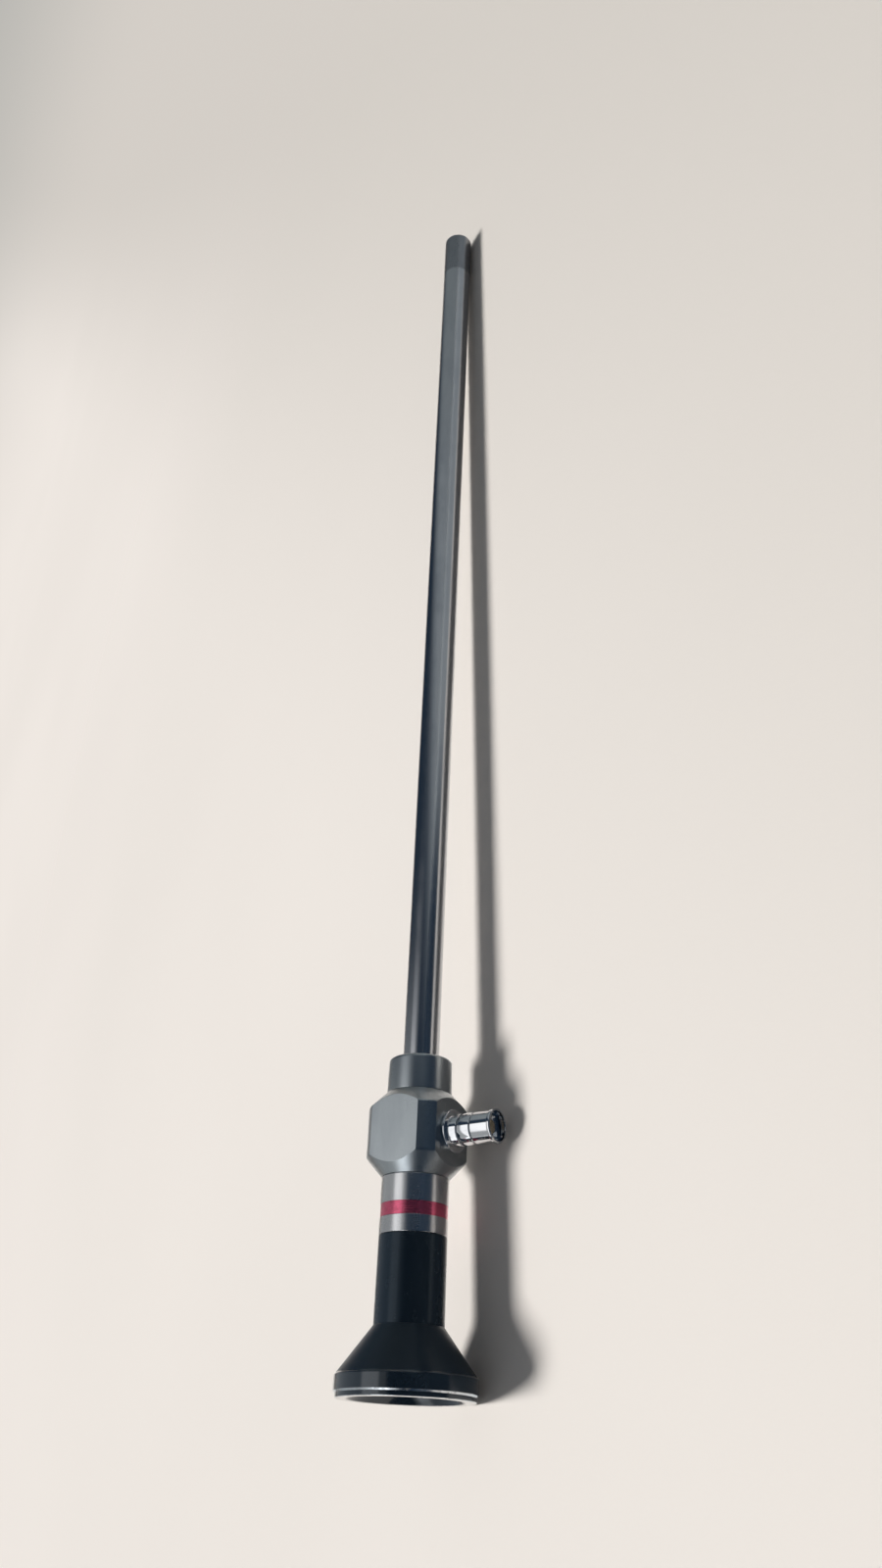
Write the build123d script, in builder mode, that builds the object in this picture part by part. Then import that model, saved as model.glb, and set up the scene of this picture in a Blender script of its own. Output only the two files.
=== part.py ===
from build123d import *
from math import asin, atan, cos, degrees, hypot, sin, tan
import os

# Rigid endoscope lying on the rim of its eyecup, the tip of its shaft and its light post.
# The shaft points along +Y and dips a little, because the rim is wider than the shaft.
# Stations are distances forward along the optical axis from the rear face of the eyecup.
# The origin lies on the floor, below the middle of the whole instrument.

# Insertion shaft
shaft_d = 10.0
working_length = 330.0
outer_tube_wall = 0.5
shaft_seat_step = 0.2
tip_edge_round = 0.4

# Eyecup: rim, funnel and the dish behind the window
rim_d = 36.6
rim_lip = 1.2
rim_step = 0.5
rim_edge_round = 0.3
band_length = 3.6
band_edge = 0.3
funnel_length = 11.7
rim_wall = 3.3
dish_floor_land = 1.2
dish_depth = 6.4
dish_edge_round = 0.5
glass_ledge = 1.3
nose_socket_wall = 1.25
eyecup_nose_length = 5.5

# Eyepiece window in the floor of the dish
cover_glass_d = 13.6
cover_glass_thickness = 1.6
cover_gasket_thickness = 0.4
cover_retainer_thickness = 1.0
cover_retainer_wall = 1.2

# Steel neck with the inlaid colour ring
neck_d = 18.15
neck_length = 15.0
neck_wall = 1.62
neck_edge = 0.3
ring_offset = 4.4
ring_width = 3.4
ring_groove_depth = 0.45
ring_recess = 0.12

# Black eyepiece tube between the eyecup and the neck
eyepiece_length = 22.0
eyepiece_inset = 0.05
eyepiece_taper = 0.12
eyepiece_wall = 2.1
eyepiece_ledge = 1.3
eyepiece_spigot_length = 5.6
tube_edge = 0.25

# Body: a turned blank with four milled flats
body_d = 27.0
across_flats = 22.4
rear_cone_length = 4.9
land_length = 13.1
front_cone_length = 4.6
rear_spigot_length = 8.3
front_spigot_length = 6.1
field_step = 1.1
field_bore_wall = 1.7
fibre_gap = 0.3
chamber_wall = 2.3
chamber_length = 12.0
chamber_back_wall = 2.6
tube_seat_depth = 10.0
seal_groove_offset = 3.0

# Collar in front of the body
collar_rear_d = 17.8
collar_taper = 0.2
collar_length = 9.6
collar_wall = 1.45
collar_round = 0.9
collar_rear_edge = 0.25

# Light post, turned about an axis square to the optical axis
post_d = 8.5
post_flange_step = 1.45
post_flange_height = 1.3
post_foot_length = 2.6
first_adapter_length = 4.0
end_adapter_length = 6.4
adapter_wall = 0.95
post_joint = 0.1
post_edge = 0.3
post_lip_step = 0.35
post_lip_length = 0.9
post_wall = 0.95
post_spigot_gap = 0.6
socket_wall = 0.3
socket_depth = 3.0
ferrule_wall = 0.6
ferrule_recess = 2.0
ferrule_length = 10.0

# Image and light guides inside the shaft
fibre_layer = 0.8
inner_tube_wall = 0.3
inner_tube_back = 2.9
rod_count = 6
spacer_length = 7.0
train_wall = 0.5
lens_crown = 0.3
window_thickness = 1.2
objective_lens_length = 3.2
objective_stop_length = 3.4

# Field stop and ocular
field_stop_thickness = 0.5
field_stop_hole_d = 4.6
field_holder_wall = 1.2
field_holder_length = 8.5
ocular_cell_wall = 0.8
ocular_cell_length = 16.4
ocular_flange = 0.9
ocular_seat = 0.7
ocular_lens_length = 4.2
ocular_crown = 0.8
ocular_spacer_length = 2.2
ocular_retainer_length = 2.0

# Seals
collar_gasket_thickness = 0.6
o_ring_section = 0.8

# Clearances: short cemented fits, and long tubes that slide into each other
fit = 0.05
long_fit = 0.1

# Diameters that follow from those above
funnel_mouth_d = rim_d - 2 * band_edge
dish_mouth_d = rim_d - 2 * rim_wall
dish_floor_d = cover_glass_d + 2 * dish_floor_land
eyecup_bore_d = cover_glass_d - 2 * glass_ledge
neck_bore_d = neck_d - 2 * neck_wall
rear_spigot_d = neck_bore_d - 2 * fit
eyepiece_front_d = neck_d - 2 * eyepiece_inset
eyepiece_rear_d = eyepiece_front_d + 2 * eyepiece_taper
eyepiece_bore_d = eyepiece_front_d - 2 * eyepiece_wall
eyepiece_spigot_bore_d = eyepiece_bore_d - 2 * eyepiece_ledge
eyecup_nose_d = eyepiece_rear_d - 2 * nose_socket_wall
collar_bore_d = collar_rear_d - 2 * collar_wall
front_spigot_d = collar_bore_d - 2 * fit
shaft_seat_d = shaft_d - 2 * shaft_seat_step
shaft_socket_d = shaft_seat_d + 2 * fit
outer_bore_d = shaft_d - 2 * outer_tube_wall
bundle_outer_d = outer_bore_d - 2 * long_fit
bundle_inner_d = bundle_outer_d - 2 * fibre_layer
inner_tube_d = bundle_inner_d - 2 * long_fit
inner_bore_d = inner_tube_d - 2 * inner_tube_wall
train_d = inner_bore_d - 2 * long_fit
fibre_bore_d = bundle_outer_d + 2 * fibre_gap
chamber_d = across_flats - 2 * chamber_wall
field_bore_d = inner_tube_d + 2 * field_step
post_flange_d = post_d + 2 * post_flange_step
post_lip_d = post_d + 2 * post_lip_step
post_spigot_d = post_d - 2 * adapter_wall
ferrule_d = post_spigot_d - 2 * post_wall
post_bundle_d = ferrule_d - 2 * ferrule_wall
socket_d = post_d - 2 * socket_wall

# Stations along the optical axis, from rear to front
band_start = rim_lip + rim_step
band_end = band_start + band_length
funnel_start = band_end + band_edge
eyepiece_start = funnel_start + funnel_length
eyepiece_end = eyepiece_start + eyepiece_length
neck_end = eyepiece_end + neck_length
land_start = neck_end + rear_cone_length
land_end = land_start + land_length
body_end = land_end + front_cone_length
collar_end = body_end + collar_length
tip = collar_end + working_length

# Heights along the light post, from the optical axis outwards
flat_height = across_flats / 2
foot_start = flat_height + post_flange_height
foot_end = foot_start + post_foot_length
first_adapter_end = foot_end + post_joint + first_adapter_length
end_adapter_start = first_adapter_end + post_joint
post_end = end_adapter_start + end_adapter_length

# It lies on the front edge of the rim's band and the edge of its tip, rolled over until the
# rounded lip of the light post stops it
dip = atan((rim_d - shaft_d) / 2 / (tip - tip_edge_round - band_end))
axis_height = band_end * sin(dip) + rim_d / 2 * cos(dip)
post_station = (land_start + land_end) / 2
lip_reach = post_end - post_edge
lip_r = post_lip_d / 2 - post_edge
post_room = rim_d / 2 - (post_station - band_end) * tan(dip) - post_edge
post_droop = asin(post_room / hypot(lip_reach, lip_r)) - atan(lip_r / lip_reach)
right_reach = lip_reach * cos(post_droop) + lip_r * sin(post_droop) + post_edge
side_shift = (rim_d / 2 - right_reach) / 2
rear_reach = (rim_d / 2 - rim_step - rim_edge_round) * sin(dip)
front_reach = tip * cos(dip) + (shaft_d / 2 - tip_edge_round) * sin(dip)
rear_centre = Vector(side_shift, (rear_reach - front_reach) / 2, axis_height)

forward = Vector(0, cos(dip), -sin(dip))
upward = Vector(0, sin(dip), cos(dip))
outward = Vector(1, 0, 0) * cos(post_droop) - upward * sin(post_droop)
optical_axis = Axis(rear_centre, forward)
post_foot = rear_centre + forward * post_station
post_axis = Axis(post_foot, outward)

# Cross planes have the post's direction as x; lathe planes hold (radius, distance) outlines
cross_plane = Plane(rear_centre, x_dir=outward, z_dir=forward)
lathe_plane = Plane(rear_centre, x_dir=outward, z_dir=outward.cross(forward))
post_plane = Plane(post_foot, x_dir=forward, z_dir=outward)
post_lathe_plane = Plane(post_foot, x_dir=forward, z_dir=forward.cross(outward))


def outline(points, plane=lathe_plane):
    """Closed outline of a turned piece, from its (radius, distance) corners."""
    with BuildSketch(plane) as section:
        with BuildLine():
            Polyline(*points, close=True)
        make_face()
    return section.sketch


def ring(inner_d, outer_d, start, end, plane=lathe_plane):
    """Outline of a plain ring or sleeve between two distances."""
    inner_r = inner_d / 2
    outer_r = outer_d / 2
    corners = [(inner_r, start), (outer_r, start), (outer_r, end), (inner_r, end)]
    return outline(corners, plane)


def lens(diameter, start, end, crown, seat):
    """Outline of a lens with two bulging faces and a flat seat round each of them."""
    radius = diameter / 2
    bulge_r = radius - seat
    sphere_r = (bulge_r**2 + crown**2) / (2 * crown)
    opening = degrees(asin(bulge_r / sphere_r))
    with BuildSketch(lathe_plane) as section:
        with BuildLine():
            rear_face = JernArc((0, start), (1, 0), sphere_r, opening)
            front_face = JernArc((0, end), (1, 0), sphere_r, -opening)
            Polyline(rear_face @ 1, (radius, start + crown), (radius, end - crown), front_face @ 1)
            Line(front_face @ 0, rear_face @ 0)
        make_face()
    return section.sketch


def circles_at(piece, station, plane=cross_plane):
    """Circular edges of a turned piece that lie at one distance along its axis."""
    circles = piece.edges().filter_by(GeomType.CIRCLE)
    return circles.filter_by(lambda edge: abs(plane.to_local_coords(edge.arc_center).Z - station) < 0.01)


finished = []


def finish(piece, label):
    """Name a finished piece and keep it for export."""
    piece.part.label = label
    finished.append(piece.part)


# Eyecup: a turned funnel with a banded rim, hollowed from the rear by a round dish
nose_end = eyepiece_start + eyecup_nose_length
glass_seat = dish_depth + cover_retainer_thickness + cover_glass_thickness + cover_gasket_thickness
with BuildPart() as eyecup:
    lip_r = rim_d / 2 - rim_step
    revolve(
        outline(
            [
                (0, 0),
                (lip_r, 0),
                (lip_r, rim_lip),
                (rim_d / 2, band_start),
                (rim_d / 2, band_end),
                (funnel_mouth_d / 2, funnel_start),
                (eyepiece_rear_d / 2, eyepiece_start),
                (eyecup_nose_d / 2, eyepiece_start),
                (eyecup_nose_d / 2, nose_end),
                (0, nose_end),
            ]
        ),
        axis=optical_axis,
    )
    fillet(circles_at(eyecup, 0), rim_edge_round)
    with BuildSketch(lathe_plane) as dish:
        with BuildLine():
            wall = RadiusArc((dish_mouth_d / 2, 0), (dish_floor_d / 2, dish_depth), dish_mouth_d / 2)
            Polyline(wall @ 1, (0, dish_depth), (0, 0), wall @ 0)
        make_face()
    revolve(dish.sketch, axis=optical_axis, mode=Mode.SUBTRACT)
    mouth = circles_at(eyecup, 0).sort_by(SortBy.RADIUS)[0]
    fillet(mouth, dish_edge_round)
    revolve(ring(0, cover_glass_d + 2 * fit, dish_depth, glass_seat), axis=optical_axis, mode=Mode.SUBTRACT)
    revolve(ring(0, eyecup_bore_d, glass_seat, nose_end), axis=optical_axis, mode=Mode.SUBTRACT)
finish(eyecup, "eyecup")

# Window of the eyecup: gasket, cover glass and threaded retainer, stacked on the seat
with BuildPart() as cover_gasket:
    gasket_start = glass_seat - cover_gasket_thickness
    revolve(ring(eyecup_bore_d, cover_glass_d, gasket_start, glass_seat), axis=optical_axis)
finish(cover_gasket, "cover_gasket")

with BuildPart() as cover_glass:
    glass_start = gasket_start - cover_glass_thickness
    revolve(ring(0, cover_glass_d, glass_start, gasket_start), axis=optical_axis)
finish(cover_glass, "cover_glass")

with BuildPart() as cover_retainer:
    retainer_bore_d = cover_glass_d - 2 * cover_retainer_wall
    revolve(ring(retainer_bore_d, cover_glass_d, dish_depth, glass_start), axis=optical_axis)
    chamfer(circles_at(cover_retainer, dish_depth).sort_by(SortBy.RADIUS)[0], cover_retainer_wall / 3)
finish(cover_retainer, "cover_retainer")

# Black eyepiece tube: tapers a little forwards, with a counterbore for the eyecup's nose
spigot_end = eyepiece_end + eyepiece_spigot_length
cell_seat = spigot_end - ocular_flange
with BuildPart() as eyepiece_tube:
    revolve(
        outline(
            [
                (0, eyepiece_start),
                (eyepiece_rear_d / 2, eyepiece_start),
                (eyepiece_front_d / 2, eyepiece_end),
                (rear_spigot_d / 2, eyepiece_end),
                (rear_spigot_d / 2, spigot_end),
                (0, spigot_end),
            ]
        ),
        axis=optical_axis,
    )
    revolve(ring(0, eyepiece_spigot_bore_d, cell_seat, spigot_end), axis=optical_axis, mode=Mode.SUBTRACT)
    revolve(ring(0, eyepiece_bore_d, nose_end, cell_seat), axis=optical_axis, mode=Mode.SUBTRACT)
    nose_socket_d = eyecup_nose_d + 2 * fit
    revolve(ring(0, nose_socket_d, eyepiece_start, nose_end + fit), axis=optical_axis, mode=Mode.SUBTRACT)
    outer_edge = circles_at(eyepiece_tube, eyepiece_end).sort_by(SortBy.RADIUS)[-1]
    chamfer(outer_edge, tube_edge)
finish(eyepiece_tube, "eyepiece_tube")

# Neck: polished sleeve over the spigots of the eyepiece tube and the body
ring_start = eyepiece_end + ring_offset
ring_end = ring_start + ring_width
groove_d = neck_d - 2 * ring_groove_depth
with BuildPart() as neck_sleeve:
    revolve(ring(neck_bore_d, neck_d, eyepiece_end, neck_end), axis=optical_axis)
    revolve(ring(groove_d, neck_d, ring_start, ring_end), axis=optical_axis, mode=Mode.SUBTRACT)
    for station in (eyepiece_end, neck_end):
        chamfer(circles_at(neck_sleeve, station).sort_by(SortBy.RADIUS)[-1], neck_edge)
finish(neck_sleeve, "neck_sleeve")

with BuildPart() as colour_ring:
    revolve(ring(groove_d, neck_d - 2 * ring_recess, ring_start, ring_end), axis=optical_axis)
finish(colour_ring, "colour_ring")

# Body: turned with two cones and two spigots, milled to four flats, bored through, and
# recessed inside where the light fibres turn into the post
rear_spigot_end = neck_end - rear_spigot_length
front_spigot_end = body_end + front_spigot_length
inner_tube_start = neck_end + inner_tube_back
chamber_start = inner_tube_start + chamber_back_wall
tube_seat = front_spigot_end - tube_seat_depth
seal_start = neck_end - seal_groove_offset - o_ring_section
with BuildPart() as body_housing:
    revolve(
        outline(
            [
                (0, neck_end),
                (neck_d / 2, neck_end),
                (body_d / 2, land_start),
                (body_d / 2, land_end),
                (collar_rear_d / 2, body_end),
                (0, body_end),
            ]
        ),
        axis=optical_axis,
    )
    with BuildSketch(cross_plane.offset(neck_end)):
        Rectangle(across_flats, across_flats)
    extrude(amount=body_end - neck_end, mode=Mode.INTERSECT)
    revolve(ring(0, rear_spigot_d, rear_spigot_end, neck_end), axis=optical_axis)
    revolve(ring(0, front_spigot_d, body_end, front_spigot_end), axis=optical_axis)
    holder_seat = inner_tube_start - field_bore_wall
    revolve(ring(0, field_bore_d, rear_spigot_end, holder_seat), axis=optical_axis, mode=Mode.SUBTRACT)
    tube_hole_d = inner_tube_d + 2 * fit
    revolve(ring(0, tube_hole_d, holder_seat, chamber_start), axis=optical_axis, mode=Mode.SUBTRACT)
    revolve(ring(0, fibre_bore_d, chamber_start, tube_seat), axis=optical_axis, mode=Mode.SUBTRACT)
    chamber_end = chamber_start + chamber_length
    revolve(ring(0, chamber_d, chamber_start, chamber_end), axis=optical_axis, mode=Mode.SUBTRACT)
    revolve(ring(0, shaft_socket_d, tube_seat, front_spigot_end), axis=optical_axis, mode=Mode.SUBTRACT)
    groove_floor_d = rear_spigot_d - 2 * o_ring_section
    seal_end = seal_start + o_ring_section + 2 * fit
    revolve(ring(groove_floor_d, neck_bore_d, seal_start, seal_end), axis=optical_axis, mode=Mode.SUBTRACT)
    with BuildSketch(post_plane):
        Circle(post_spigot_d / 2 + fit)
    extrude(amount=flat_height, mode=Mode.SUBTRACT)
finish(body_housing, "body_housing")

with BuildPart() as neck_seal:
    o_ring_centre = (groove_floor_d / 2 + o_ring_section / 2, seal_start + o_ring_section / 2 + fit)
    with BuildSketch(lathe_plane):
        with Locations(o_ring_centre):
            Circle(o_ring_section / 2)
    revolve(axis=optical_axis)
finish(neck_seal, "neck_seal")

# Collar screwed over the front spigot, with a gasket round the shaft
gasket_end = front_spigot_end + collar_gasket_thickness
with BuildPart() as front_collar:
    revolve(
        outline(
            [
                (shaft_socket_d / 2, body_end),
                (collar_rear_d / 2, body_end),
                (collar_rear_d / 2 - collar_taper, collar_end),
                (shaft_socket_d / 2, collar_end),
            ]
        ),
        axis=optical_axis,
    )
    revolve(ring(0, collar_bore_d, body_end, gasket_end), axis=optical_axis, mode=Mode.SUBTRACT)
    fillet(circles_at(front_collar, collar_end).sort_by(SortBy.RADIUS)[-1], collar_round)
    chamfer(circles_at(front_collar, body_end).sort_by(SortBy.RADIUS)[-1], collar_rear_edge)
finish(front_collar, "front_collar")

with BuildPart() as collar_gasket:
    revolve(ring(shaft_socket_d, front_spigot_d, front_spigot_end, gasket_end), axis=optical_axis)
finish(collar_gasket, "collar_gasket")

# Outer tube of the shaft: turned down where it sits in the collar and body, rounded at the tip
with BuildPart() as outer_tube:
    revolve(ring(outer_bore_d, shaft_seat_d, tube_seat, collar_end), axis=optical_axis)
    revolve(ring(outer_bore_d, shaft_d, collar_end, tip), axis=optical_axis)
    fillet(circles_at(outer_tube, tip).sort_by(SortBy.RADIUS)[-1], tip_edge_round)
finish(outer_tube, "outer_tube")

# Inner tube: carries every lens from the objective to the field stop
with BuildPart() as inner_tube:
    revolve(ring(inner_bore_d, inner_tube_d, inner_tube_start, tip), axis=optical_axis)
finish(inner_tube, "inner_tube")

# Light fibres: a sleeve between the two tubes, fed by one round bundle from the light post
ferrule_end = post_end - ferrule_recess
with BuildPart() as light_fibres:
    revolve(ring(bundle_inner_d, bundle_outer_d, chamber_start, tip), axis=optical_axis)
    with BuildSketch(post_plane.offset(bundle_inner_d / 2 + fit)):
        Circle(post_bundle_d / 2)
    extrude(amount=ferrule_end - bundle_inner_d / 2 - fit)
finish(light_fibres, "light_fibres")

# Optics at the tip: window, and a cell with a front lens, a stop and a rear lens
window_start = tip - window_thickness
with BuildPart() as distal_window:
    revolve(ring(0, train_d, window_start, tip), axis=optical_axis)
finish(distal_window, "distal_window")

cell_bore_d = train_d - 2 * train_wall
objective_lens_d = cell_bore_d - 2 * fit
front_lens_start = window_start - fit - objective_lens_length
rear_lens_end = front_lens_start - objective_stop_length + 2 * lens_crown
rear_lens_start = rear_lens_end - objective_lens_length
cell_start = rear_lens_start - fit
with BuildPart() as objective_cell:
    revolve(ring(cell_bore_d, train_d, cell_start, window_start), axis=optical_axis)
finish(objective_cell, "objective_cell")

with BuildPart() as objective_front_lens:
    front_lens_end = front_lens_start + objective_lens_length
    front_lens = lens(objective_lens_d, front_lens_start, front_lens_end, lens_crown, train_wall)
    revolve(front_lens, axis=optical_axis)
finish(objective_front_lens, "objective_front_lens")

with BuildPart() as objective_stop:
    stop_bore_d = objective_lens_d - 2 * train_wall
    stop_start = rear_lens_end - lens_crown
    stop_end = front_lens_start + lens_crown
    revolve(ring(stop_bore_d, objective_lens_d, stop_start, stop_end), axis=optical_axis)
finish(objective_stop, "objective_stop")

with BuildPart() as objective_rear_lens:
    rear_lens = lens(objective_lens_d, rear_lens_start, rear_lens_end, lens_crown, train_wall)
    revolve(rear_lens, axis=optical_axis)
finish(objective_rear_lens, "objective_rear_lens")

# Rod lenses and the spacer sleeves between them, one after the other along the inner tube
train_start = inner_tube_start + lens_crown + fit
train_length = cell_start - lens_crown - train_start
rod_length = (train_length - (rod_count - 1) * spacer_length) / rod_count
for index in range(rod_count):
    rod_start = train_start + index * (rod_length + spacer_length)
    rod_end = rod_start + rod_length
    with BuildPart() as rod_lens:
        rod = lens(train_d, rod_start - lens_crown, rod_end + lens_crown, lens_crown, train_wall)
        revolve(rod, axis=optical_axis)
    finish(rod_lens, f"rod_lens_{index + 1}")
    if index < rod_count - 1:
        with BuildPart() as lens_spacer:
            revolve(ring(cell_bore_d, train_d, rod_end, rod_end + spacer_length), axis=optical_axis)
        finish(lens_spacer, f"lens_spacer_{index + 1}")

# Field stop at the rear of its holder, which stands against the step in the body's bore
holder_start = holder_seat - field_holder_length
holder_d = field_bore_d - 2 * fit
with BuildPart() as field_holder:
    revolve(ring(holder_d - 2 * field_holder_wall, holder_d, holder_start, holder_seat), axis=optical_axis)
finish(field_holder, "field_holder")

with BuildPart() as field_stop:
    stop_back = holder_start - field_stop_thickness
    revolve(ring(field_stop_hole_d, holder_d, stop_back, holder_start), axis=optical_axis)
finish(field_stop, "field_stop")

# Ocular: cell with a rear flange, two lenses, a spacer between them and a retainer in front
ocular_cell_d = eyepiece_bore_d - 2 * fit
ocular_bore_d = ocular_cell_d - 2 * ocular_cell_wall
ocular_lens_d = ocular_bore_d - 2 * fit
ocular_opening_d = ocular_bore_d - 2 * ocular_seat
ocular_start = cell_seat - ocular_cell_length
with BuildPart() as ocular_cell:
    revolve(ring(ocular_bore_d, ocular_cell_d, ocular_start, cell_seat), axis=optical_axis)
    flange_end = ocular_start + ocular_flange
    revolve(ring(ocular_opening_d, ocular_cell_d, ocular_start, flange_end), axis=optical_axis)
finish(ocular_cell, "ocular_cell")

ocular_edge = ocular_lens_length - 2 * ocular_crown
rear_seat = ocular_start + ocular_flange
front_seat = rear_seat + ocular_edge + ocular_spacer_length
for label, seat_station in (("ocular_rear_lens", rear_seat), ("ocular_front_lens", front_seat)):
    with BuildPart() as ocular_lens:
        apex = seat_station - ocular_crown
        front_apex = apex + ocular_lens_length
        revolve(lens(ocular_lens_d, apex, front_apex, ocular_crown, ocular_seat), axis=optical_axis)
    finish(ocular_lens, label)

ring_seats = (
    ("ocular_spacer", rear_seat + ocular_edge, ocular_spacer_length),
    ("ocular_retainer", front_seat + ocular_edge, ocular_retainer_length),
)
for label, ring_back, length in ring_seats:
    with BuildPart() as ocular_ring:
        revolve(ring(ocular_opening_d, ocular_lens_d, ring_back, ring_back + length), axis=optical_axis)
    finish(ocular_ring, label)

# Light post: spigot in the body, flange on the milled flat, foot, and a nose for the adapters
socket_floor = post_end - socket_depth
nose_top = socket_floor - post_joint
spigot_inner_end = fibre_bore_d / 2 + post_spigot_gap
with BuildPart() as light_post:
    revolve(
        outline(
            [
                (0, spigot_inner_end),
                (post_spigot_d / 2, spigot_inner_end),
                (post_spigot_d / 2, flat_height),
                (post_flange_d / 2, flat_height),
                (post_flange_d / 2, foot_start),
                (post_d / 2, foot_start),
                (post_d / 2, foot_end),
                (post_spigot_d / 2, foot_end),
                (post_spigot_d / 2, nose_top),
                (0, nose_top),
            ],
            post_lathe_plane,
        ),
        axis=post_axis,
    )
    ferrule_bore_d = ferrule_d + 2 * fit
    ferrule_bore = ring(0, ferrule_bore_d, spigot_inner_end, nose_top, post_lathe_plane)
    revolve(ferrule_bore, axis=post_axis, mode=Mode.SUBTRACT)
    chamfer(circles_at(light_post, foot_start, post_plane).sort_by(SortBy.RADIUS)[-1], post_edge)
    chamfer(circles_at(light_post, foot_end, post_plane).sort_by(SortBy.RADIUS)[-1], post_edge)
finish(light_post, "light_post")

adapter_bore_d = post_spigot_d + 2 * fit
with BuildPart() as first_adapter:
    adapter_start = foot_end + post_joint
    revolve(ring(adapter_bore_d, post_d, adapter_start, first_adapter_end, post_lathe_plane), axis=post_axis)
    for height in (adapter_start, first_adapter_end):
        chamfer(circles_at(first_adapter, height, post_plane).sort_by(SortBy.RADIUS)[-1], post_edge)
finish(first_adapter, "first_adapter")

# End adapter: flared lip round a thin-walled socket, in which the ferrule's end face shows
with BuildPart() as end_adapter:
    lip_start = post_end - post_lip_length
    revolve(
        outline(
            [
                (0, end_adapter_start),
                (post_d / 2, end_adapter_start),
                (post_d / 2, lip_start),
                (post_lip_d / 2, lip_start),
                (post_lip_d / 2, post_end),
                (0, post_end),
            ],
            post_lathe_plane,
        ),
        axis=post_axis,
    )
    revolve(ring(0, socket_d, socket_floor, post_end, post_lathe_plane), axis=post_axis, mode=Mode.SUBTRACT)
    revolve(
        ring(0, adapter_bore_d, end_adapter_start, socket_floor, post_lathe_plane),
        axis=post_axis,
        mode=Mode.SUBTRACT,
    )
    chamfer(circles_at(end_adapter, end_adapter_start, post_plane).sort_by(SortBy.RADIUS)[-1], post_edge)
    fillet(circles_at(end_adapter, post_end, post_plane).sort_by(SortBy.RADIUS)[-1], post_edge)
finish(end_adapter, "end_adapter")

with BuildPart() as fibre_ferrule:
    bundle_bore_d = post_bundle_d + 2 * fit
    ferrule_start = ferrule_end - ferrule_length
    revolve(ring(bundle_bore_d, ferrule_d, ferrule_start, ferrule_end, post_lathe_plane), axis=post_axis)
finish(fibre_ferrule, "fibre_ferrule")

os.makedirs("parts", exist_ok=True)
for part in finished:
    export_step(part, f"parts/{part.label}.step")
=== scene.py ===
"""Rigid endoscope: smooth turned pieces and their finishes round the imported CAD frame.

Sizes are in millimetres, as in the part's own drawing, and become metres when a piece is placed.
Stations are distances forward along the optical axis from the rear face of the eyecup.
Heights are distances outwards along the light post from the optical axis.
"""

import logging
from dataclasses import dataclass, field
from enum import Enum
from math import cos, degrees, pi, radians, sin
from typing import Any, Iterable, Sequence

import bmesh
import bpy
from mathutils import Matrix, Vector


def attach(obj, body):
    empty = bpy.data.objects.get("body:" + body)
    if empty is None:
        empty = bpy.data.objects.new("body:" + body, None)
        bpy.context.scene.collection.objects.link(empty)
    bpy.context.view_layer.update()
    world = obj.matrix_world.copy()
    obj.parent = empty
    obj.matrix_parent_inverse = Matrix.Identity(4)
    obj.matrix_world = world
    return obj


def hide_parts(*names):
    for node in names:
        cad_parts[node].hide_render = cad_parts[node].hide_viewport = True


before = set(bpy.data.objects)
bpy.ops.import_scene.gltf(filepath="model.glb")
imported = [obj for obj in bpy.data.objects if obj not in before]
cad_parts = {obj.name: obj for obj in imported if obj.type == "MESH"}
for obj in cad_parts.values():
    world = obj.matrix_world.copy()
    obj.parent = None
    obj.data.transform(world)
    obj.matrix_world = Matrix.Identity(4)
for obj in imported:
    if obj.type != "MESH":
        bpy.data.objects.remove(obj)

log = logging.getLogger("endoscope")

MM = 0.001
BODY = "root"

Colour = tuple[float, float, float]


class Slot(Enum):
    """Material slots of the record."""

    POLISHED_STEEL = "polished_steel"
    BLASTED_STEEL = "blasted_steel"
    CHROMED_POST = "chromed_post"
    BLACK_GLOSS = "black_gloss"
    BLACK_TUBE = "black_tube"
    RED_RING = "red_ring"
    BLACK_BRASS = "black_brass"
    BLACK_ALLOY = "black_alloy"
    OPTICAL_GLASS = "optical_glass"
    FIBRE_GLASS = "fibre_glass"
    SEAL_RUBBER = "seal_rubber"


class Grain(Enum):
    """Directions of the fine tool marks, as the share of the pattern's scale across and along."""

    TURNED = (0.12, 9.0)
    DRAWN = (7.0, 0.035)
    BLASTED = (6.0, 6.0)


# Where the instrument lies and how it is turned


@dataclass(frozen=True)
class Axes:
    """A turning axis in the row frame.

    Args:
        start: Point at distance zero, in metres.
        along: Direction of growing distance.
        across: Direction of the radius in the profile's plane.
    """

    start: Vector
    along: Vector
    across: Vector

    @property
    def turn(self) -> Matrix:
        """Rotation from the lathe's own axes to the row frame."""
        side = self.along.cross(self.across)
        return Matrix((self.across, side, self.along)).transposed()

    @property
    def placing(self) -> Matrix:
        """Matrix from lathe millimetres to row metres."""
        return Matrix.Translation(self.start) @ self.turn.to_4x4() @ Matrix.Scale(MM, 4)


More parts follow.
